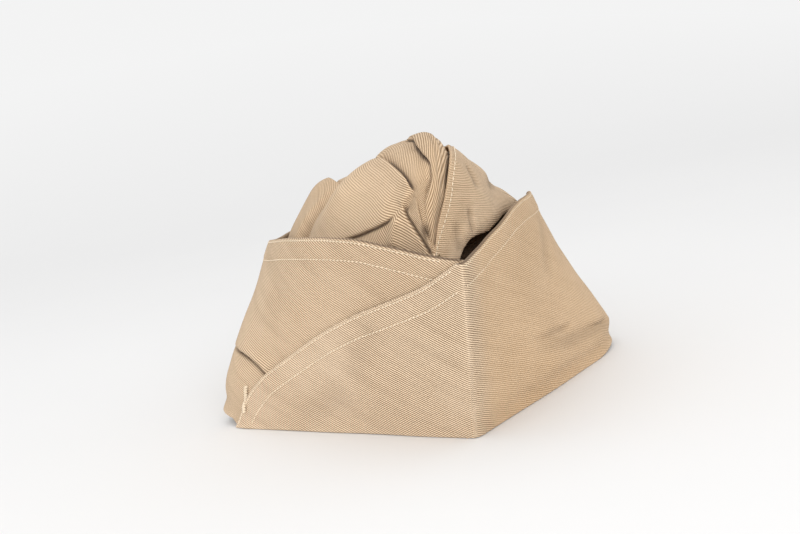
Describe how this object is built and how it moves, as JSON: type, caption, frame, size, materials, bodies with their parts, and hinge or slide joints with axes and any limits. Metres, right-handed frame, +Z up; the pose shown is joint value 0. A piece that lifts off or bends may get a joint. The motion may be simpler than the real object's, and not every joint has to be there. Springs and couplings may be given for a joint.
{
  "type": "garrison cap",
  "caption": "Folding cloth cap with a turned-up band that laps over itself in a slanting edge, and a soft two-panel crown with an insert along its top.",
  "frame": {"origin": "middle of the rim, on the surface that the cap rests on", "axes": "+Z up, the front of the cap faces -Y, the wearer's left is +X"},
  "size_m": [0.188, 0.2622, 0.117],
  "materials": {
    "twill": "khaki cotton twill, matte",
    "thread": "cream sewing thread, matte"
  },
  "bodies": {
    "root": {"curtain_left": "twill", "curtain_right": "twill", "crown_left": "twill", "crown_right": "twill", "crown_gusset": "twill", "bar_tack": "thread"}
  },
  "joints": []
}
